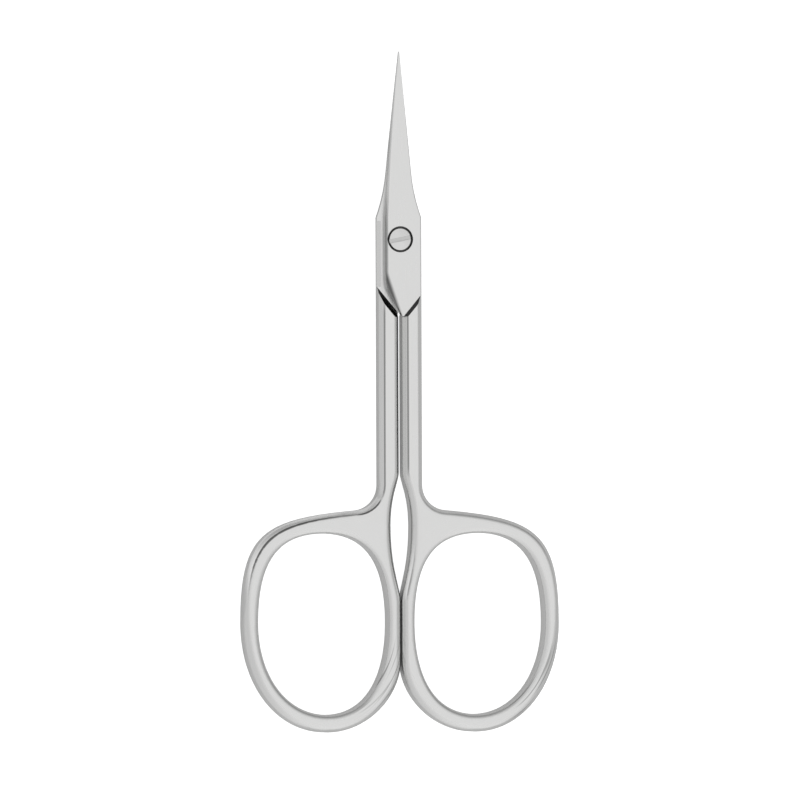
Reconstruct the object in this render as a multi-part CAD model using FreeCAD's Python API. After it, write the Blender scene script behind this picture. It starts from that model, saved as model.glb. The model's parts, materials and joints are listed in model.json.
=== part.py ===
import FreeCAD, Part
import math
import os

# Cuticle scissors, closed and lying flat: two crossed steel halves on a slotted pivot screw.
# Millimetres. +X points right, +Y towards the tips and +Z up, out of the screw head. The origin is
# the middle of the footprint on the surface that the scissors lie on.
#
# Both halves are worked out in one half frame: the pivot axis is x = y = 0, the mating plane is z = 0,
# the handle is on the +x side and the blade on the +y side. The front half is lifted to its height.
# The rear half is turned half a turn about the length of the scissors first.

# Overall lengths from the pivot axis
tip_reach = 27.6            # pivot to the tips of the blades
ring_reach = 72.4           # pivot to the far end of the finger rings

# Handle section
handle_thickness = 3.4
side_run = 0.65             # how far a slanted side leans in from its widest line to the flat face
side_land = 1.8             # upright strip along the widest line
crease_round = 0.6          # rounding between a slanted side and the flat face, where there is room
ring_round = 0.7            # the same, round the outer side and the far end of the ring
crease_share = 0.6          # part of the flat face left beside the finger hole that it may take

# Shanks
shank_outer = 3.25          # centre line to the outer side of a shank
shank_gap = 0.62            # between the two shanks

# Finger rings
ring_gap = 0.2              # between the two rings where they nearly touch
inner_bar = 1.9             # width of the ring beside the other ring
outer_bar = 2.3             # width of the ring at its outer side
bottom_bar = 2.6            # width of the ring at its far end
hole_width = 19.65
hole_height = 26.6
hole_widest = 0.5075        # level where the finger hole is widest, as a share of its height
hole_round = 0.75           # rounding of the finger hole's edges, on the inner side and towards the shank
hole_round_outer = 1.0      # the same, on the outer side and at the far end
hole_share = 0.65           # part of the flat face that the rounding of the hole may take
hole_fullness_near = 0.69   # handle length of the curves towards the shank, as a share of their box
hole_fullness_far = 0.58    # the same, from the outer side to the far end
hole_fullness_inner = 0.63  # the same, from the far end to the inner side
ring_lean = 0.6             # the far end of the ring lies this much nearer to the centre line
ring_fullness_inner = 0.53  # fullness of the ring's outline, far end to the other ring
ring_fullness_far = 0.57    # far end to the outer side
ring_fullness_near = 0.80   # outer side to the armpit
contact_above = 3.0         # level of the widest hole to the end of the straight contact, shank side
contact_below = 5.5         # the same, far side
lens_length = 19.0          # gap between the handles, from the crotch to the contact
lens_widest = 0.41          # the crotch to the level where that gap is widest, as a share of its length
lens_depth = 1.26           # how far each handle stands back there
lens_fullness = 0.58        # handle length of the gap's curves at its widest level, as a share of theirs
lens_fullness_crotch = 0.17   # the same, at the crotch
lens_fullness_contact = 0.2   # the same, at the contact
armpit_radius = 3.7
armpit_slope = 5.0          # degrees by which the ring's edge falls away from the armpit
armpit_rise = 3.4           # finger hole to the outer end of the armpit

# Lap joint
lap_above = 3.2             # pivot to the foot of the blades
lap_below = 12.2            # pivot to the point of the V-shaped shoulders
lap_gap = 0.06              # between the two mating faces
plate_thickness = 1.15
plate_spine = 2.05          # centre line to the free side of a plate
plate_point = 0.9           # how far the point of a plate stays short of the point of the V
plate_end_angle = 62.0      # degrees between the slanted end of a plate and the x axis
plate_corner = 6.0          # rounding between the free side of a plate and its slanted end
plate_bevel_spread = 9.0    # degrees by which the bevel widens along the slanted end, away from the V
plate_bevel_angle = 48.0    # degrees by which that bevel falls away from the plate's outer face
shoulder_angle = 50.0       # degrees between a shoulder and the x axis
shoulder_run = 1.1          # slope of the shoulder on the mating side
step_run = 0.45             # slope of the step down to the plate's outer face
lap_bevel_width = 0.6       # bevel along the mating face's outer edge
lap_bevel_depth = 0.35
lap_bevel_stop = 0.5        # the bevel stops this far short of the blade

# Blades
tip_half_width = 0.08
tip_thickness = 0.3
blade_taper = 0.096         # half width gained per millimetre away from the tip
blade_flare = 6.2           # length of the flare at the foot of the blade
spine_bow = 0.2             # how far the back edge bows out from a straight line
tip_rise = 0.5              # both blades curve up by this much
edge_land = 0.12            # upright strip at the cutting edge
spine_chamfer = 0.2

# Pivot screw and its holes
screw_diameter = 2.2
screw_running_clearance = 0.03
screw_head_diameter = 3.3
screw_head_height = 0.6
screw_head_crown = 0.12
screw_head_gap = 0.27       # round the head, in its counterbore
screw_seat_gap = 0.02       # under the head
screw_end_setback = 0.05    # end of the screw to the rear plate's back
screw_edge = 0.08           # chamfer of the head's rim and of the screw's end
slot_width = 0.62
slot_depth = 0.38
slot_angle = 11.0           # degrees

pivot_y = (ring_reach - tip_reach) / 2
mid_height = handle_thickness / 2
ridge = side_land / 2
plate_inner = lap_gap / 2
plate_outer = plate_inner + plate_thickness
side_slope = side_run / (mid_height - ridge)
head_seat = plate_outer - screw_head_height
screw_bore_radius = screw_diameter / 2 + screw_running_clearance
flare_steps = 4             # sections in the flare of a blade
blade_steps = 4             # sections in the rest of it
far = 2 * (tip_reach + ring_reach)
tiny = 1e-6                 # an edge that climbs less than this is level
near_enough = 0.05          # slack when edges are picked by the box they lie in
up = FreeCAD.Vector(0, 0, 1)


def at(x, y, z=0.0):
    return FreeCAD.Vector(x, y, z)


def line(start, end):
    return Part.LineSegment(start, end).toShape()


def bezier(*poles):
    curve = Part.BezierCurve()
    curve.setPoles(list(poles))
    return curve.toShape()


def quarter(start, end, fullness, leaves_along_x):
    """Quarter of an oval between two axis-parallel tangents."""
    dx = (end.x - start.x) * fullness
    dy = (end.y - start.y) * fullness
    if leaves_along_x:
        return bezier(start, start + at(dx, 0), end - at(0, dy), end)
    return bezier(start, start + at(0, dy), end - at(dx, 0), end)


def prism(edges, bottom, top):
    """Upright solid over a closed chain of plan edges."""
    face = Part.Face(Part.Wire(Part.__sortEdges__(edges)))
    face.translate(at(0, 0, bottom))
    return face.extrude(up * (top - bottom))


def polygon_face(points):
    return Part.Face(Part.makePolygon(points + points[:1]))


# Levels of the ring, worked out from its far end
hole_far_y = bottom_bar - ring_reach
hole_near_y = hole_far_y + hole_height
widest_y = hole_far_y + hole_widest * hole_height
contact_x = ring_gap / 2
hole_inner_x = contact_x + inner_bar
hole_outer_x = hole_inner_x + hole_width
ring_outer_x = hole_outer_x + outer_bar
hole_axis_x = (hole_inner_x + hole_outer_x) / 2
far_x = hole_axis_x - ring_lean
contact_near_y = widest_y + contact_above
contact_far_y = widest_y - contact_below
crotch_y = contact_near_y + lens_length
armpit_end_y = hole_near_y + armpit_rise
shank_inner = shank_gap / 2
shoulder = math.radians(shoulder_angle)
shoulder_end_y = (shank_outer - shank_inner) * math.tan(shoulder) - lap_below
stub_y = shoulder_end_y + 2 * shoulder_run
plate_apex = at(shank_inner, plate_point - lap_below)


def handle_outline():
    """Plan of the shank and the outside of the ring, from the shank's inner top corner round."""
    slope = math.radians(armpit_slope)
    armpit_turn = math.pi / 2 - slope
    armpit_y = armpit_end_y + armpit_radius * math.sin(armpit_turn)
    armpit_end = at(shank_outer + armpit_radius * (1 - math.cos(armpit_turn)), armpit_end_y)
    armpit_mid = at(shank_outer + armpit_radius * (1 - math.cos(armpit_turn / 2)),
                    armpit_y - armpit_radius * math.sin(armpit_turn / 2))
    outer_side = at(ring_outer_x, widest_y)
    far_end = at(far_x, -ring_reach)
    opening = at(0, lens_widest) * lens_length
    closing = at(0, 1 - lens_widest) * lens_length
    lens_mid = at(shank_inner + lens_depth, crotch_y) - opening
    reach = (armpit_end - outer_side) * ring_fullness_near
    corners = {
        "top_inner": at(shank_inner, stub_y),
        "crotch": at(shank_inner, crotch_y),
        "contact_near": at(contact_x, contact_near_y),
        "contact_far": at(contact_x, contact_far_y),
        "armpit": at(shank_outer, armpit_y),
        "top_outer": at(shank_outer, stub_y),
    }
    return [
        line(corners["top_inner"], corners["crotch"]),
        bezier(corners["crotch"], corners["crotch"] - opening * lens_fullness_crotch,
               lens_mid + opening * lens_fullness, lens_mid),
        bezier(lens_mid, lens_mid - closing * lens_fullness,
               corners["contact_near"] + closing * lens_fullness_contact, corners["contact_near"]),
        line(corners["contact_near"], corners["contact_far"]),
        quarter(corners["contact_far"], far_end, ring_fullness_inner, False),
        quarter(far_end, outer_side, ring_fullness_far, True),
        bezier(outer_side, outer_side + at(0, reach.y),
               armpit_end + at(-reach.x, reach.x * math.tan(slope)), armpit_end),
        Part.Arc(armpit_end, armpit_mid, corners["armpit"]).toShape(),
        line(corners["armpit"], corners["top_outer"]),
        line(corners["top_outer"], corners["top_inner"]),
    ]


def hole_outline():
    """Plan of the finger hole: four oval quarters."""
    near = at(hole_axis_x, hole_near_y)
    outer = at(hole_outer_x, widest_y)
    far_end = at(far_x, hole_far_y)
    inner = at(hole_inner_x, widest_y)
    return [
        quarter(near, outer, hole_fullness_near, True),
        quarter(outer, far_end, hole_fullness_far, False),
        quarter(far_end, inner, hole_fullness_inner, True),
        quarter(inner, near, hole_fullness_near, False),
    ]


def face_rims(solid, low, high):
    """Numbers of the flat faces' edges that lie inside a plan box and don't run along its far side."""
    numbers = []
    for number, edge in enumerate(solid.Edges, start=1):
        box = edge.BoundBox
        on_face = box.ZLength < tiny and abs(box.Center.z) > mid_height - tiny
        inside_x = box.XMin > low.x - near_enough and box.XMax < high.x + near_enough
        inside_y = box.YMin > low.y - near_enough and box.YMax < high.y + near_enough
        on_far_side = box.YMin > high.y - near_enough
        if on_face and inside_x and inside_y and not on_far_side:
            numbers.append(number)
    return numbers


def on_outer_side(corner):
    """Whether a corner of an outline lies at the far end or on the outer side of the ring."""
    return corner.x > far_x - near_enough and corner.y < widest_y + near_enough


def flat_width(corner):
    """Width of the flat face of the bar beside a corner, before its edges are rounded."""
    return (outer_bar if on_outer_side(corner) else inner_bar) - side_run


def hole_radius(corner):
    """Rounding of the finger hole's edge at a corner of its outline, limited by the bar there."""
    wanted = hole_round_outer if on_outer_side(corner) else hole_round
    return min(wanted, hole_share * flat_width(corner))


def crease_radius(corner):
    """Rounding of the flat face's edge at a corner of the handle's outline, limited by the bar there."""
    wanted = ring_round if on_outer_side(corner) else crease_round
    turn = math.atan2(mid_height - ridge, side_run)
    room = flat_width(corner) - hole_radius(corner)
    return min(wanted, crease_share * room / math.tan(turn / 2))


def round_rims(solid, numbers, radius_at):
    """Round edges with a radius that changes evenly along each one, from corner to corner."""
    rims = []
    for number in numbers:
        edge = solid.Edges[number - 1]
        start, end = (edge.valueAt(place) for place in edge.ParameterRange)
        rims.append((number, radius_at(start), radius_at(end)))
    document = FreeCAD.newDocument()
    sharp = document.addObject("Part::Feature", "sharp")
    sharp.Shape = solid
    rounded = document.addObject("Part::Fillet", "rounded")
    rounded.Base = sharp
    rounded.Edges = rims
    document.recompute()
    shape = rounded.Shape.copy()
    FreeCAD.closeDocument(document.Name)
    return shape


def shoulder_cutter(face_level, plate_level, run):
    """What is taken off beyond a shoulder: a slope from the handle's face to the plate's face."""
    beyond = 2 * face_level
    profile = [at(0, 0, face_level), at(0, run, plate_level), at(0, far, plate_level),
               at(0, far, beyond), at(0, 0, beyond)]
    cutter = polygon_face(profile).extrude(at(2 * far, 0, 0))
    cutter.translate(at(-far, 0, 0))
    cutter.rotate(at(0, 0), up, shoulder_angle)
    cutter.translate(at(shank_inner, -lap_below))
    return cutter


def handle():
    """Shank and ring: slanted sides, a finger hole with rounded edges and the V-shaped shoulders."""
    low = at(0, -ring_reach)
    high = at(ring_outer_x, stub_y)
    body = prism(handle_outline(), -mid_height, mid_height)
    outer_rims = [body.Edges[number - 1] for number in face_rims(body, low, high)]
    body = body.makeChamfer(mid_height - ridge, side_run, outer_rims)
    body = round_rims(body, face_rims(body, low, high), crease_radius)
    body = body.cut(prism(hole_outline(), -mid_height, mid_height))
    hole_rims = face_rims(body, at(hole_inner_x, hole_far_y), at(hole_outer_x, hole_near_y))
    body = round_rims(body, hole_rims, hole_radius)
    body = body.cut(shoulder_cutter(mid_height, plate_outer, step_run))
    return body.cut(shoulder_cutter(-mid_height, plate_inner, shoulder_run))


def blade_section(y, bend):
    """Section of a blade across its length: back edge on the -x side, cutting edge on the +x side."""
    along = (y - lap_above) / (tip_reach - lap_above)
    left = 1 - along
    foot_half = tip_half_width + blade_taper * (tip_reach - lap_above)
    flare = max(0.0, 1 - (y - lap_above) / blade_flare) ** 2
    cut_x = tip_half_width + blade_taper * (tip_reach - y) + (shank_outer - foot_half) * flare
    spine_x = -tip_half_width * along - plate_spine * left - 4 * spine_bow * along * left
    inner = plate_inner + bend * tip_rise * along ** 2
    outer = inner + tip_thickness * along + plate_thickness * left
    land = edge_land * along + (ridge - plate_inner) * left
    bevel = tip_half_width / 2 * along + side_slope * (plate_outer - ridge) * left
    chamfer = tip_half_width / 2 * along + spine_chamfer * left
    return [at(spine_x, y, inner), at(cut_x, y, inner), at(cut_x, y, inner + land),
            at(cut_x - bevel, y, outer), at(spine_x + chamfer, y, outer), at(spine_x, y, outer - chamfer)]


def blade(bend):
    """Tapered, curved blade from its foot at the lap to the tip."""
    straight = tip_reach - lap_above - blade_flare
    levels = [lap_above + blade_flare * step / flare_steps for step in range(flare_steps)]
    levels += [tip_reach - straight * (1 - step / blade_steps) for step in range(blade_steps + 1)]
    sections = []
    for y in levels:
        points = blade_section(y, bend)
        sections.append(Part.makePolygon(points + points[:1]))
    return Part.makeLoft(sections, True, False)


def plate_outline():
    """Plan of the lap plate: free side, rounded corner, slanted end, and a stretch inside the shank."""
    end = math.radians(plate_end_angle)
    corner = plate_apex + at(-1, math.tan(end)) * (plate_spine + shank_inner)
    turn = math.pi / 2 - end
    tangent = plate_corner * math.tan(turn / 2)
    along_end = at(math.cos(end), -math.sin(end))
    arc_start = corner + up.cross(at(1, 0)) * tangent
    arc_end = corner + along_end * tangent
    centre = arc_start + at(plate_corner, 0)
    arc_mid = centre + at(-math.cos(turn / 2), -math.sin(turn / 2)) * plate_corner
    spine_foot = at(-plate_spine, lap_above)
    outer_foot = at(shank_outer, lap_above)
    inside = at(shank_outer, plate_apex.y)
    return [line(spine_foot, arc_start), Part.Arc(arc_start, arc_mid, arc_end).toShape(),
            line(arc_end, plate_apex), line(plate_apex, inside), line(inside, outer_foot),
            line(outer_foot, spine_foot)]


def plate_bevel():
    """What is taken off along the slanted end of a plate: a slope that starts at the point of the V."""
    drop = plate_outer * math.tan(math.radians(plate_bevel_angle))
    profile = [at(0, 0, plate_outer), at(0, 0, mid_height), at(0, -plate_outer, mid_height),
               at(0, -plate_outer, plate_outer - drop)]
    cutter = polygon_face(profile).extrude(at(far, 0, 0))
    cutter.translate(at(-far, 0, 0))
    cutter.rotate(at(0, 0), up, plate_bevel_spread - plate_end_angle)
    cutter.translate(plate_apex)
    return cutter


def lap_plate(bend):
    """Plate that carries the pivot: the blade's foot section drawn back to the shoulders."""
    drawn = polygon_face(blade_section(lap_above, bend)).extrude(at(0, -lap_above - lap_below, 0))
    return drawn.common(prism(plate_outline(), 0, mid_height)).cut(plate_bevel())


def lap_bevel():
    """What is taken off along the mating face's outer edge, between the shoulder and the blade."""
    start = shoulder_end_y + shoulder_run / math.cos(shoulder)
    stop = lap_above - lap_bevel_stop
    corner = at(shank_outer, start, plate_inner)
    profile = [corner - at(lap_bevel_width, 0), corner + at(0, 0, lap_bevel_depth),
               corner + at(lap_bevel_width, 0, lap_bevel_depth), corner + at(lap_bevel_width, 0)]
    return polygon_face(profile).extrude(at(0, stop - start, 0))


def half(bend):
    """One half in the half frame. Its blade curves away from its mate for bend 1, towards it for -1."""
    return handle().fuse([lap_plate(bend), blade(bend)]).removeSplitter().cut(lap_bevel())


def front_half():
    """Half with the right handle, the counterbore for the screw head and the screw's running bore."""
    bore = Part.makeCylinder(screw_bore_radius, handle_thickness)
    counterbore = Part.makeCylinder(screw_head_diameter / 2 + screw_head_gap, handle_thickness,
                                    at(0, 0, head_seat - screw_seat_gap))
    solid = half(1).cut(bore).cut(counterbore)
    solid.translate(at(0, pivot_y, mid_height))
    return solid


def rear_half():
    """Half with the left handle and the hole that holds the end of the screw."""
    bore = Part.makeCylinder(screw_bore_radius, handle_thickness)
    solid = half(-1).cut(bore)
    solid.rotate(at(0, 0), at(0, 1), 180)
    solid.translate(at(0, pivot_y, mid_height))
    return solid


def pivot_screw():
    """Slotted screw with a low crowned head. Its thread is a plain cylinder."""
    radius = screw_diameter / 2
    head = screw_head_diameter / 2
    end = screw_end_setback - plate_outer
    rim = plate_outer - screw_edge
    crown = plate_outer + screw_head_crown
    dome_half = head - screw_edge
    dome_radius = (dome_half ** 2 + screw_head_crown ** 2) / (2 * screw_head_crown)
    half_way = math.asin(dome_half / dome_radius) / 2
    dome_mid = at(dome_radius * math.sin(half_way), 0, crown - dome_radius * (1 - math.cos(half_way)))
    profile = [at(0, 0, end), at(radius - screw_edge, 0, end), at(radius, 0, end + screw_edge),
               at(radius, 0, head_seat), at(head, 0, head_seat), at(head, 0, rim),
               at(dome_half, 0, plate_outer)]
    sides = [line(first, second) for first, second in zip(profile, profile[1:])]
    dome = Part.Arc(profile[-1], dome_mid, at(0, 0, crown)).toShape()
    axis = line(at(0, 0, crown), profile[0])
    face = Part.Face(Part.Wire(sides + [dome, axis]))
    screw = face.revolve(at(0, 0), up, 360)
    slot = Part.makeBox(2 * head, slot_width, handle_thickness,
                        at(-head, -slot_width / 2, crown - slot_depth))
    slot.rotate(at(0, 0), up, slot_angle)
    screw = screw.cut(slot)
    screw.translate(at(0, pivot_y, mid_height))
    return screw


os.makedirs("parts", exist_ok=True)
pieces = {"front_half": front_half(), "rear_half": rear_half(), "pivot_screw": pivot_screw()}
for name, solid in pieces.items():
    solid.exportStep(f"parts/{name}.step")
    print(name, solid.isValid(), len(solid.Solids), round(solid.Volume, 2))
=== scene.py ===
import json
import math

import bpy
from mathutils import Matrix, Vector

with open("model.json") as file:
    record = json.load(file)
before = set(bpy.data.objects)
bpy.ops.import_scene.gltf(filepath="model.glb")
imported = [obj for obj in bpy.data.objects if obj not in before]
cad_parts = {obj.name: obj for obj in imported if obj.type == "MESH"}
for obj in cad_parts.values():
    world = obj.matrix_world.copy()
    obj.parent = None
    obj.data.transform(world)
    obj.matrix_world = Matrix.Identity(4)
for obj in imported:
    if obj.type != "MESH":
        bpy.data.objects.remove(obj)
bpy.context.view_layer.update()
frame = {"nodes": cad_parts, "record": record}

bl_info = {
    "name": "Cuticle scissors",
    "version": (1, 0, 0),
    "blender": (4, 5, 0),
    "location": "3D View > Sidebar > Scissors",
    "description": "Dresses the cuticle scissors and sets up their studio",
    "category": "Object",
}

half_nodes = ("front_half", "rear_half")
screw_node = "pivot_screw"

# Loose corners closer than this are joined, and an edge that turns by more than this stays crisp.
weld_distance = 1e-6
crisp_angle = math.radians(28)

# The painted shade, painted highlight and roughness of the halves change over fades. Each pair gives where a
# fade starts and where it is complete.
# Levels along the scissors are metres above the screw's axis, and heights are metres off the plane between
# the lap plates. Facings and lifts are parts of the surface normal: a lift of 1 is a level face. A painted
# shade is 0 on bare steel and 1 at the darkest.

# Shoulders: the two sloping walls of the V, darkened with painted shade, partly as duller unpolished steel.
shoulder_top = (-0.0045, -0.0055)
shoulder_foot = (-0.0125, -0.0118)
shoulder_facing = (0.3, 0.4)

# Lap plates: painted shade on their free sides, their slanted ends and the crescent beside that end on the
# face.
plate_point = (-0.0113, -0.0110)
plate_upper_end = (0.0085, 0.0015)
plate_half_width = (0.0024, 0.0023)
plate_wall_facing = (0.66, 0.78)
plate_wall_foot = (0.0001, 0.0004)
plate_end_facing = (-0.25, -0.4)
plate_end_shade = 0.95
plate_face_low = (0.0009, 0.001)
plate_face_high = (0.00135, 0.00125)
crescent_corner = (0.00031, plate_point[0], 0.0)
crescent_angle = math.radians(71)
crescent_fade = (-0.0002, 0.0004)
crescent_shade = 0.92

# Pocket round the screw head, darkened with painted shade, by its radius and its height.
pocket_radius = (0.00197, 0.00195)
pocket_height = (0.00115, 0.0011)

# Rings: where they begin, in metres above the middle of a finger hole, how flat their ovals are, and the
# radius that softens how their edges shine.
ring_top = (0.022, 0.014)
ring_flattening = 0.76
ring_edge_radius = 0.0006
ring_edge_samples = 8

# Strips where the rings nearly touch, darkened with painted shade, by their distance from the middle of the
# scissors.
# Their top is in metres above the middle of a finger hole.
contact_gap = (0.0005, 0.0001)
contact_top = (0.019, 0.014)
contact_facing = (0.8, 0.97)
contact_shade = 0.55

# Creases: thin painted dark reflections on the left of the shanks and of the left ring, where a painted
# highlight lies on the rim outside.
# A flat lift ends them towards the level face. A ring begins above the middle of its finger hole, higher on
# the right and lower on the left by the shift.
crease_lift = (0.72, 0.82)
crease_flat_lift = (0.985, 0.94)
crease_top = (-0.0085, -0.011)
crease_left_facing = (0.0, -0.1)
crease_ring_top = (0.0215, 0.018)
crease_ring_shift = 0.0017
crease_outward_facing = (0.0, 0.1)
crease_upper_facing = (0.02, 0.2)
crease_shank_shade = 0.62
crease_ring_shade = 0.88
# Painted highlight on the rim outside the left ring's crease.
rim_lift = (0.45, 0.65)
rim_flat_lift = (0.8, 0.74)

# Streaks of painted dark reflection round the lower right of each ring, laid out like polishing streaks.
streak_width = 0.00022
streak_length = 0.010
streak_detail = 1.0
streak_noise = (0.54, 0.66)
streak_direction = (0.7, -0.7, 0.0)
streak_reach = (0.82, 0.97)
streak_lift = (0.3, 0.6)
streak_shade = 0.5

# Brushed grain: its detail, how far it spreads the roughness, and how level a flat face is.
grain_detail = 3.0
roughness_spread = 0.16
flat_face_lift = (0.97, 0.995)

# Screw: the height under which its head gets painted shade, the radius where the head's side begins, how
# much painted shade the slot gets, and how far the turned rings draw out the gloss.
head_sunk = (0.00112, 0.00106)
head_side = (0.0016, 0.00163)
slot_shade = 0.15
turning_anisotropy = 0.6

# Stage: the white of its lights, the floor's roughness, and how the sky dims towards the far left and right.
white = (1.0, 1.0, 1.0, 1.0)
floor_roughness = 0.9
sky_left = (-0.9, 0.2)
sky_left_share = 0.76
sky_right = (0.45, 0.95)
sky_right_share = 0.7


def pivot_axis():
    """Point on the axis that the halves turn about, from the scissors' hinge."""
    for joint in frame["record"]["behaviour"]["joints"]:
        if joint["name"] == "scissor_pivot":
            return Vector(joint["pos_m"])
    raise RuntimeError("the frame has no scissor pivot")


def finger_hole():
    """Middle of the right finger hole, taken from the box of the opening that the fingers go through."""
    for opening in frame["record"]["physics"]["openings"]:
        low, high = (Vector(corner) for corner in opening["box_m"])
        if low.x > 0:
            return (low + high) / 2
    raise RuntimeError("the frame has no opening on the right")


class SteelSettings(bpy.types.PropertyGroup):
    """Satin steel of the two halves and turned steel of the screw."""
    colour: bpy.props.FloatVectorProperty(
        name="Colour", description="Colour of the bare steel", subtype="COLOR", size=3,
        min=0, max=1, default=(0.70, 0.70, 0.695))
    # Colour of the painted highlight on the rim beside the left ring's crease.
    rim_highlight_colour: bpy.props.FloatVectorProperty(
        name="Rim colour", description="Colour of the buffed rim beside the left ring's crease",
        subtype="COLOR", size=3, min=0, max=1, default=(0.97, 0.97, 0.965))
    face_roughness: bpy.props.FloatProperty(
        name="Face roughness", description="Roughness of the satin flat faces", subtype="FACTOR",
        min=0, max=1, default=0.30)
    side_roughness: bpy.props.FloatProperty(
        name="Side roughness", description="Roughness of the polished sides and edges", subtype="FACTOR",
        min=0, max=1, default=0.20)
    # Darkest painted shade, as a share of the steel's colour: in the corners, gaps, pocket and creases, on
    # the streaks and on the screw head's side. In the corners it stands partly for duller unpolished steel.
    painted_shade_share: bpy.props.FloatProperty(
        name="Crevice", description="Share of the steel's colour that is left in the unpolished corners",
        subtype="FACTOR", min=0, max=1, default=0.1)
    grain_width: bpy.props.FloatProperty(
        name="Grain width", description="Width of one line of the brushed grain", unit="LENGTH",
        min=0.00001, default=0.00012)
    grain_length: bpy.props.FloatProperty(
        name="Grain length", description="Length of one line of the brushed grain", unit="LENGTH",
        min=0.0001, default=0.004)
    grain_depth: bpy.props.FloatProperty(
        name="Grain depth", description="Height of the brushed grain", unit="LENGTH",
        min=0, default=0.000002)
    screw_colour: bpy.props.FloatVectorProperty(
        name="Screw colour", description="Colour of the bright screw", subtype="COLOR", size=3,
        min=0, max=1, default=(0.70, 0.70, 0.695))
    screw_roughness: bpy.props.FloatProperty(
        name="Screw roughness", description="Roughness of the turned screw", subtype="FACTOR",
        min=0, max=1, default=0.3)
    turning_pitch: bpy.props.FloatProperty(
        name="Turning pitch", description="Distance between two turned rings on the screw", unit="LENGTH",
        min=0.00001, default=0.00012)
    turning_depth: bpy.props.FloatProperty(
        name="Turning depth", description="Height of the turned rings", unit="LENGTH",
        min=0, default=0.000006)


class StudioSettings(bpy.types.PropertyGroup):
    """Floor, sky and camera."""
    floor_size: bpy.props.FloatProperty(
        name="Floor size", description="Length of one side of the floor", unit="LENGTH", default=3.0)
    floor_glow: bpy.props.FloatProperty(
        name="Floor glow", description="Light of its own that the floor shows to the camera", default=0.9)
    floor_bounce: bpy.props.FloatProperty(
        name="Floor bounce", description="Light of its own that the floor gives the scissors", default=0.2)
    floor_colour: bpy.props.FloatVectorProperty(
        name="Floor colour", description="Colour of the pale floor", subtype="COLOR", size=3,
        min=0, max=1, default=(0.5, 0.5, 0.5))
    sky_bright: bpy.props.FloatProperty(
        name="Soft light", description="Brightness of the overhead soft light", default=1.0)
    sky_dark: bpy.props.FloatProperty(
        name="Dark side", description="Brightness of the unlit side of the room", default=0.35)
    sky_axis: bpy.props.FloatVectorProperty(
        name="Light direction", description="Where the middle of the soft light is", subtype="DIRECTION",
        size=3, default=(-0.25, -0.83, 0.5))
    sky_low: bpy.props.FloatProperty(
        name="Light edge, dark", description="Share along the light direction where the room is dark",
        default=-0.8)
    sky_high: bpy.props.FloatProperty(
        name="Light edge, bright", description="Share along the light direction where the light is full",
        default=0.15)
    lean_left: bpy.props.FloatProperty(
        name="Camera lean to the left", description="Camera direction left of straight down",
        subtype="ANGLE", default=math.radians(14.5))
    roll: bpy.props.FloatProperty(
        name="Camera roll", description="How far the picture is turned", subtype="ANGLE",
        default=math.radians(0.2))
    distance: bpy.props.FloatProperty(
        name="Camera distance", description="Camera to the middle of the scissors", unit="LENGTH",
        default=4.0)
    picture_height: bpy.props.FloatProperty(
        name="Picture height", description="Height of what the picture takes in", unit="LENGTH",
        default=0.11756)
    target: bpy.props.FloatVectorProperty(
        name="Camera target", description="Point in the middle of the picture", subtype="XYZ",
        unit="LENGTH", size=3, default=(0.00016, -0.00121, 0.0017))


class NodeBench:
    """Shorthand for adding linked nodes to one node tree."""

    def __init__(self, tree):
        self.tree = tree

    def add(self, kind, *sources, **settings):
        """Node of a kind with settings, its first inputs taken from sources: sockets or plain values."""
        node = self.tree.nodes.new(kind)
        for name, value in settings.items():
            setattr(node, name, value)
        for socket, source in zip(node.inputs, sources):
            self.feed(socket, source)
        return node

    def feed(self, socket, source):
        """Link a socket to another one, or set it to a plain value. None leaves it as it is."""
        if isinstance(source, bpy.types.NodeSocket):
            self.tree.links.new(source, socket)
        elif source is not None:
            socket.default_value = source

    def math(self, operation, *sources):
        """Number worked out from numbers."""
        return self.add("ShaderNodeMath", *sources, operation=operation).outputs["Value"]

    def product(self, first, *others):
        """Numbers multiplied together."""
        for other in others:
            first = self.math("MULTIPLY", first, other)
        return first

    def largest(self, first, *others):
        """Largest of some numbers."""
        for other in others:
            first = self.math("MAXIMUM", first, other)
        return first

    def vector(self, operation, *sources):
        """Vector worked out from vectors."""
        return self.add("ShaderNodeVectorMath", *sources, operation=operation).outputs["Vector"]

    def measure(self, operation, *sources):
        """Number worked out from vectors: a length or a dot product."""
        return self.add("ShaderNodeVectorMath", *sources, operation=operation).outputs["Value"]

    def join(self, x, y, z=0.0):
        """Vector with these parts."""
        return self.add("ShaderNodeCombineXYZ", x, y, z).outputs["Vector"]

    def split(self, vector):
        """The three parts of a vector."""
        return self.add("ShaderNodeSeparateXYZ", vector).outputs

    def ramp(self, value, low, high, start=0.0, end=1.0):
        """Smooth step from start at low to end at high."""
        node = self.add("ShaderNodeMapRange", value, low, high, start, end, interpolation_type="SMOOTHSTEP")
        return node.outputs["Result"]

    def blend(self, kind, share, first, second):
        """Mix of two sources of one kind, Float or Vector: all second where the share is 1."""
        node = self.add("ShaderNodeMix", share, data_type=kind.upper())
        ends = {socket.identifier: socket for socket in (*node.inputs, *node.outputs)}
        self.feed(ends["A_" + kind], first)
        self.feed(ends["B_" + kind], second)
        return ends["Result_" + kind]

    def tint(self, share, first, second):
        """Mix of two colours: all second where the share is 1."""
        return self.add("ShaderNodeMixRGB", share, first, second).outputs["Color"]

    def bump(self, height, distance, normal=None):
        """Normal of a surface whose height is given, where a height of 1 stands a distance proud."""
        node = self.add("ShaderNodeBump")
        self.feed(node.inputs["Strength"], 1.0)
        self.feed(node.inputs["Distance"], distance)
        self.feed(node.inputs["Height"], height)
        self.feed(node.inputs["Normal"], normal)
        return node.outputs["Normal"]


def opaque(colour, share=1.0):
    """Colour at a share of its brightness, with full alpha."""
    return (*(value * share for value in colour), 1.0)


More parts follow.
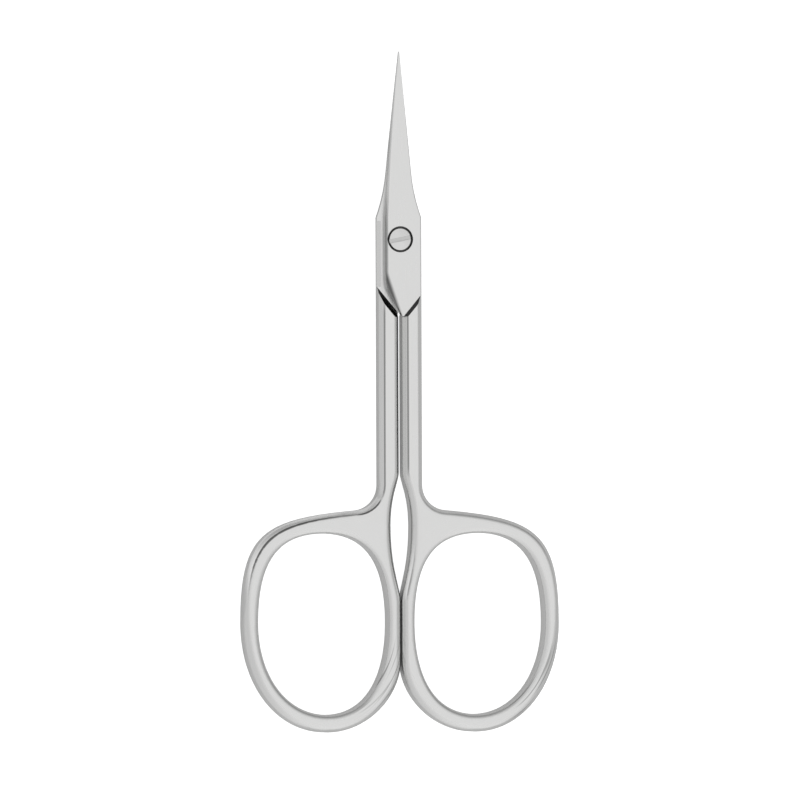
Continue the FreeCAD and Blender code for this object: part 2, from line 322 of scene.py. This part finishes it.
def new_material(name):
    """Node material, with the bench for its nodes and its shader."""
    material = bpy.data.materials.new(name)
    material.use_nodes = True
    bench = NodeBench(material.node_tree)
    shader = material.node_tree.nodes["Principled BSDF"]
    return material, bench, shader


class Spot:
    """Place and facing of the point on a half that its material is worked out for.

    Places are in the frame's coordinates, because the object of each half sits at the origin. The finger
    hole that they are measured from is the one on the same side, and away points from its middle.
    """

    def __init__(self, bench):
        pivot = pivot_axis()
        hole = finger_hole()
        coordinates = bench.add("ShaderNodeTexCoord").outputs
        self.place = coordinates["Object"]
        self.normal = coordinates["Normal"]
        self.x, y, self.z = bench.split(self.place)
        self.facing_x, self.facing_y, facing_z = bench.split(self.normal)
        self.sideways = bench.math("ABSOLUTE", self.facing_x)
        self.lift = bench.math("ABSOLUTE", facing_z)
        self.side = bench.math("SIGN", self.x)
        self.off_centre = bench.math("ABSOLUTE", self.x)
        self.above_pivot = bench.math("SUBTRACT", y, pivot.y)
        self.above_lap = bench.math("SUBTRACT", self.z, pivot.z)
        self.height = bench.math("ABSOLUTE", self.above_lap)
        self.beside_hole = bench.math("SUBTRACT", self.off_centre, hole.x)
        self.above_hole = bench.math("SUBTRACT", y, hole.y)
        self.ring_share = bench.ramp(self.above_hole, *ring_top)
        from_hole = bench.vector("NORMALIZE", bench.join(self.beside_hole, self.above_hole))
        self.away = bench.vector("MULTIPLY", from_hole, bench.join(self.side, 1.0))


def shoulder_share(bench, spot):
    """Painted shade on the sloping walls of the V, partly duller unpolished steel, from 0 to 1."""
    return bench.product(bench.ramp(spot.facing_y, *shoulder_facing),
                         bench.ramp(spot.above_pivot, *shoulder_top),
                         bench.ramp(spot.above_pivot, *shoulder_foot))


def crescent_share(bench, spot):
    """Painted shade on the part of a plate's face past a line near its slanted end, turned over on the rear
    plate.
    """
    turned = bench.math("MULTIPLY", spot.x, bench.math("SIGN", spot.above_lap))
    from_corner = bench.vector("SUBTRACT", bench.join(turned, spot.above_pivot), crescent_corner)
    across_line = (-math.sin(crescent_angle), -math.cos(crescent_angle), 0.0)
    past_line = bench.measure("DOT_PRODUCT", from_corner, across_line)
    return bench.product(bench.ramp(past_line, *crescent_fade, 0.0, crescent_shade),
                         bench.ramp(spot.height, *plate_face_low),
                         bench.ramp(spot.height, *plate_face_high))


def plate_share(bench, spot):
    """Painted shade on the free sides, slanted ends and crescents of the lap plates, from 0 to 1."""
    wall = bench.product(bench.ramp(spot.sideways, *plate_wall_facing),
                         bench.ramp(spot.height, *plate_wall_foot))
    slanted_end = bench.ramp(spot.facing_y, *plate_end_facing, 0.0, plate_end_shade)
    return bench.product(bench.largest(wall, slanted_end, crescent_share(bench, spot)),
                         bench.ramp(spot.off_centre, *plate_half_width),
                         bench.ramp(spot.above_pivot, *plate_point),
                         bench.ramp(spot.above_pivot, *plate_upper_end))


def pocket_share(bench, spot):
    """Painted shade in the pocket round the screw head, from 0 to 1."""
    off_axis = bench.measure("LENGTH", bench.join(spot.x, spot.above_pivot))
    return bench.product(bench.ramp(off_axis, *pocket_radius), bench.ramp(spot.height, *pocket_height))


def contact_share(bench, spot):
    """Painted shade on the strips where the rings nearly touch, from 0 to its strength."""
    return bench.product(bench.ramp(spot.off_centre, *contact_gap, 0.0, contact_shade),
                         bench.ramp(spot.above_hole, *contact_top),
                         bench.ramp(spot.sideways, *contact_facing))


def crease_shares(bench, spot):
    """The painted dark reflection along a crease, and the painted highlight on the rim outside it on the
    left ring, each from 0 to 1.

    The line runs along the left creases of the shanks and round the upper left of the left ring.
    """
    to_left = bench.ramp(spot.facing_x, *crease_left_facing)
    level = bench.math("SUBTRACT", spot.above_hole, bench.math("MULTIPLY", spot.side, crease_ring_shift))
    on_ring = bench.ramp(level, *crease_ring_top)
    outward = bench.measure("DOT_PRODUCT", spot.normal, spot.away)
    ring_side = bench.product(bench.ramp(outward, *crease_outward_facing),
                              bench.ramp(spot.facing_y, *crease_upper_facing))
    dark = bench.product(bench.ramp(spot.lift, *crease_lift), bench.ramp(spot.lift, *crease_flat_lift),
                         bench.ramp(spot.above_pivot, *crease_top), to_left,
                         bench.ramp(on_ring, 0.0, 1.0, 1.0, ring_side),
                         bench.ramp(on_ring, 0.0, 1.0, crease_shank_shade, crease_ring_shade))
    bright = bench.product(bench.ramp(spot.lift, *rim_lift), bench.ramp(spot.lift, *rim_flat_lift),
                           to_left, on_ring, ring_side)
    return dark, bright


def ring_path(bench, spot):
    """Distance from the middle of the finger hole and length round it, along ovals like the ring's own."""
    flattened = bench.math("MULTIPLY", spot.above_hole, ring_flattening)
    radius = bench.measure("LENGTH", bench.join(spot.beside_hole, flattened))
    angle = bench.math("ARCTAN2", flattened, spot.beside_hole)
    return radius, bench.math("MULTIPLY", angle, finger_hole().x)


def line_noise(bench, place, width, length, detail):
    """Noise drawn out along the second part of a place: lines of a width and a length."""
    noise = bench.add("ShaderNodeTexNoise", noise_dimensions="3D")
    bench.feed(noise.inputs["Vector"], bench.vector("DIVIDE", place, (width, length, width)))
    bench.feed(noise.inputs["Scale"], 1.0)
    bench.feed(noise.inputs["Detail"], detail)
    return noise.outputs["Fac"]


def streak_share(bench, spot, radius, arc):
    """Streaks of painted dark reflection on the rings, laid out like polishing streaks, from 0 to their
    strength.
    """
    lines = line_noise(bench, bench.join(radius, arc), streak_width, streak_length, streak_detail)
    lower_right = bench.measure("DOT_PRODUCT", spot.away, streak_direction)
    return bench.product(bench.ramp(lines, *streak_noise),
                         bench.ramp(lower_right, *streak_reach, 0.0, streak_shade),
                         bench.ramp(spot.lift, *streak_lift), spot.ring_share)


def satin_steel(settings):
    """Brushed steel with painted shade in its corners, gaps and pocket, partly as duller unpolished steel in
    the corners, and with painted dark reflections and a painted highlight along the creases and rings.

    The grain runs along the blades and shanks, and round the bars of the rings, whose edges shine softly.
    """
    material, bench, shader = new_material("satin_steel")
    spot = Spot(bench)
    radius, arc = ring_path(bench, spot)
    grain_lines = (settings.grain_width, settings.grain_length, grain_detail)
    straight = line_noise(bench, spot.place, *grain_lines)
    curved = line_noise(bench, bench.join(radius, arc, spot.z), *grain_lines)
    grain = bench.blend("Float", spot.ring_share, straight, curved)
    flatness = bench.ramp(spot.lift, *flat_face_lift)
    rough = bench.ramp(flatness, 0.0, 1.0, settings.side_roughness, settings.face_roughness)
    uneven = bench.math("MULTIPLY", bench.math("SUBTRACT", grain, 0.5), roughness_spread)
    bench.feed(shader.inputs["Roughness"], bench.math("ADD", rough, uneven))
    sharp = bench.add("ShaderNodeNewGeometry").outputs["Normal"]
    rounded = bench.add("ShaderNodeBevel", ring_edge_radius, samples=ring_edge_samples).outputs["Normal"]
    edge = bench.blend("Vector", spot.ring_share, sharp, rounded)
    bench.feed(shader.inputs["Normal"], bench.bump(grain, settings.grain_depth, edge))
    # Painted shade, painted dark reflections and a painted highlight go into the base colour.
    crease, rim = crease_shares(bench, spot)
    painted_shade = bench.largest(shoulder_share(bench, spot), plate_share(bench, spot),
                             pocket_share(bench, spot), contact_share(bench, spot),
                             crease, streak_share(bench, spot, radius, arc))
    highlighted = bench.tint(rim, opaque(settings.colour), opaque(settings.rim_highlight_colour))
    colour = bench.tint(painted_shade, highlighted, opaque(settings.colour, settings.painted_shade_share))
    bench.feed(shader.inputs["Base Color"], colour)
    shader.inputs["Metallic"].default_value = 1.0
    return material


def screw_steel(settings):
    """Turned steel: fine rings round the screw's axis, with painted shade on the head's side and a little in
    its slot.
    """
    material, bench, shader = new_material("screw_steel")
    place = bench.add("ShaderNodeTexCoord").outputs["Object"]
    x, y, z = bench.split(bench.vector("SUBTRACT", place, pivot_axis()))
    radius = bench.measure("LENGTH", bench.join(x, y))
    rings = bench.math("SINE", bench.math("MULTIPLY", radius, 2 * math.pi / settings.turning_pitch))
    bench.feed(shader.inputs["Normal"], bench.bump(rings, settings.turning_depth))
    tangent = bench.add("ShaderNodeTangent", direction_type="RADIAL", axis="Z")
    bench.feed(shader.inputs["Tangent"], tangent.outputs["Tangent"])
    shader.inputs["Anisotropic"].default_value = turning_anisotropy
    # Painted shade on the head's side in the pocket, and a little in the slot.
    painted_shade = bench.product(bench.ramp(z, *head_sunk), bench.ramp(radius, *head_side, slot_shade, 1.0))
    colour = bench.tint(painted_shade, opaque(settings.screw_colour), opaque(settings.colour, settings.painted_shade_share))
    bench.feed(shader.inputs["Base Color"], colour)
    shader.inputs["Metallic"].default_value = 1.0
    shader.inputs["Roughness"].default_value = settings.screw_roughness
    return material


def dress(name, material):
    """Give a solid its finish, with smooth round faces and crisp edges."""
    solid = frame["nodes"][name]
    solid.data.materials.clear()
    solid.data.materials.append(material)
    weld = solid.modifiers.new("weld", "WELD")
    weld.merge_threshold = weld_distance
    solid.data.polygons.foreach_set("use_smooth", [True] * len(solid.data.polygons))
    crisp = solid.modifiers.new("crisp_edges", "EDGE_SPLIT")
    crisp.split_angle = crisp_angle


class SCISSORS_OT_finish_halves(bpy.types.Operator):
    """Give both halves their satin steel"""
    bl_idname = "scissors.finish_halves"
    bl_label = "Finish the halves"

    def execute(self, context):
        material = satin_steel(context.scene.scissors_steel)
        for name in half_nodes:
            dress(name, material)
        return {"FINISHED"}


class SCISSORS_OT_finish_screw(bpy.types.Operator):
    """Give the pivot screw its turned steel"""
    bl_idname = "scissors.finish_screw"
    bl_label = "Finish the screw"

    def execute(self, context):
        dress(screw_node, screw_steel(context.scene.scissors_steel))
        return {"FINISHED"}


def lay_floor(settings):
    """Flat pale square that gives off part of its own light, so that it stays pale under the scissors."""
    reach = settings.floor_size / 2
    mesh = bpy.data.meshes.new("floor")
    corners = [(-reach, -reach, 0), (reach, -reach, 0), (reach, reach, 0), (-reach, reach, 0)]
    mesh.from_pydata(corners, [], [(0, 1, 2, 3)])
    floor = bpy.data.objects.new("floor", mesh)
    bpy.context.collection.objects.link(floor)
    material, bench, shader = new_material("floor")
    shader.inputs["Base Color"].default_value = opaque(settings.floor_colour)
    shader.inputs["Roughness"].default_value = floor_roughness
    shader.inputs["Specular IOR Level"].default_value = 0.0
    shader.inputs["Emission Color"].default_value = white
    seen = bench.add("ShaderNodeLightPath").outputs["Is Camera Ray"]
    glow = bench.ramp(seen, 0.0, 1.0, settings.floor_bounce, settings.floor_glow)
    bench.feed(shader.inputs["Emission Strength"], glow)
    mesh.materials.append(material)


def light_studio(settings):
    """Sky with one large soft light on the ring side and a dark room on the tips' side.

    It dims towards the far left and the far right.
    """
    world = bpy.data.worlds.new("studio")
    bpy.context.scene.world = world
    world.use_nodes = True
    bench = NodeBench(world.node_tree)
    background = world.node_tree.nodes["Background"]
    direction = bench.add("ShaderNodeTexCoord").outputs["Generated"]
    axis = Vector(settings.sky_axis).normalized()
    along = bench.measure("DOT_PRODUCT", direction, axis)
    glow = bench.ramp(along, settings.sky_low, settings.sky_high, settings.sky_dark, settings.sky_bright)
    sideways = bench.split(direction)["X"]
    left = bench.ramp(sideways, *sky_left, sky_left_share, 1.0)
    right = bench.ramp(sideways, *sky_right, 1.0, sky_right_share)
    bench.feed(background.inputs["Strength"], bench.product(glow, left, right))
    background.inputs["Color"].default_value = white


def place_camera(settings):
    """Camera that looks at the target from its lean, turned by its roll."""
    scene = bpy.context.scene
    camera = bpy.data.objects.new("camera", bpy.data.cameras.new("camera"))
    bpy.context.collection.objects.link(camera)
    scene.camera = camera
    back = Vector((-math.sin(settings.lean_left), 0, math.cos(settings.lean_left)))
    right = Vector((0, 1, 0)).cross(back).normalized()
    above = back.cross(right)
    turn = Matrix.Rotation(-settings.roll, 3, back)
    pose = Matrix((turn @ right, turn @ above, back)).transposed().to_4x4()
    pose.translation = Vector(settings.target) + back * settings.distance
    camera.matrix_world = pose
    camera.data.lens = camera.data.sensor_width * settings.distance / settings.picture_height
    scene.view_settings.view_transform = "Standard"


class SCISSORS_OT_build_stage(bpy.types.Operator):
    """Lay the floor, light the studio and place the camera"""
    bl_idname = "scissors.build_stage"
    bl_label = "Build the stage"

    def execute(self, context):
        settings = context.scene.scissors_studio
        lay_floor(settings)
        light_studio(settings)
        place_camera(settings)
        return {"FINISHED"}


class SCISSORS_PT_sidebar(bpy.types.Panel):
    """Settings and steps of the scissors"""
    bl_idname = "SCISSORS_PT_sidebar"
    bl_label = "Cuticle scissors"
    bl_space_type = "VIEW_3D"
    bl_region_type = "UI"
    bl_category = "Scissors"

    def draw(self, context):
        for name, group in groups.items():
            box = self.layout.box()
            for field in group.__annotations__:
                box.prop(getattr(context.scene, name), field)
        for operator in operators:
            self.layout.operator(operator.bl_idname)


groups = {"scissors_steel": SteelSettings, "scissors_studio": StudioSettings}
operators = (SCISSORS_OT_finish_halves, SCISSORS_OT_finish_screw, SCISSORS_OT_build_stage)


def register():
    for cls in (*groups.values(), *operators, SCISSORS_PT_sidebar):
        bpy.utils.register_class(cls)
    for name, group in groups.items():
        setattr(bpy.types.Scene, name, bpy.props.PointerProperty(type=group))


def unregister():
    for name in groups:
        delattr(bpy.types.Scene, name)
    for cls in (SCISSORS_PT_sidebar, *reversed(operators), *groups.values()):
        bpy.utils.unregister_class(cls)


def main():
    """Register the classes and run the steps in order."""
    register()
    bpy.ops.scissors.finish_halves()
    bpy.ops.scissors.finish_screw()
    bpy.ops.scissors.build_stage()


if __name__ == "__main__":
    main()
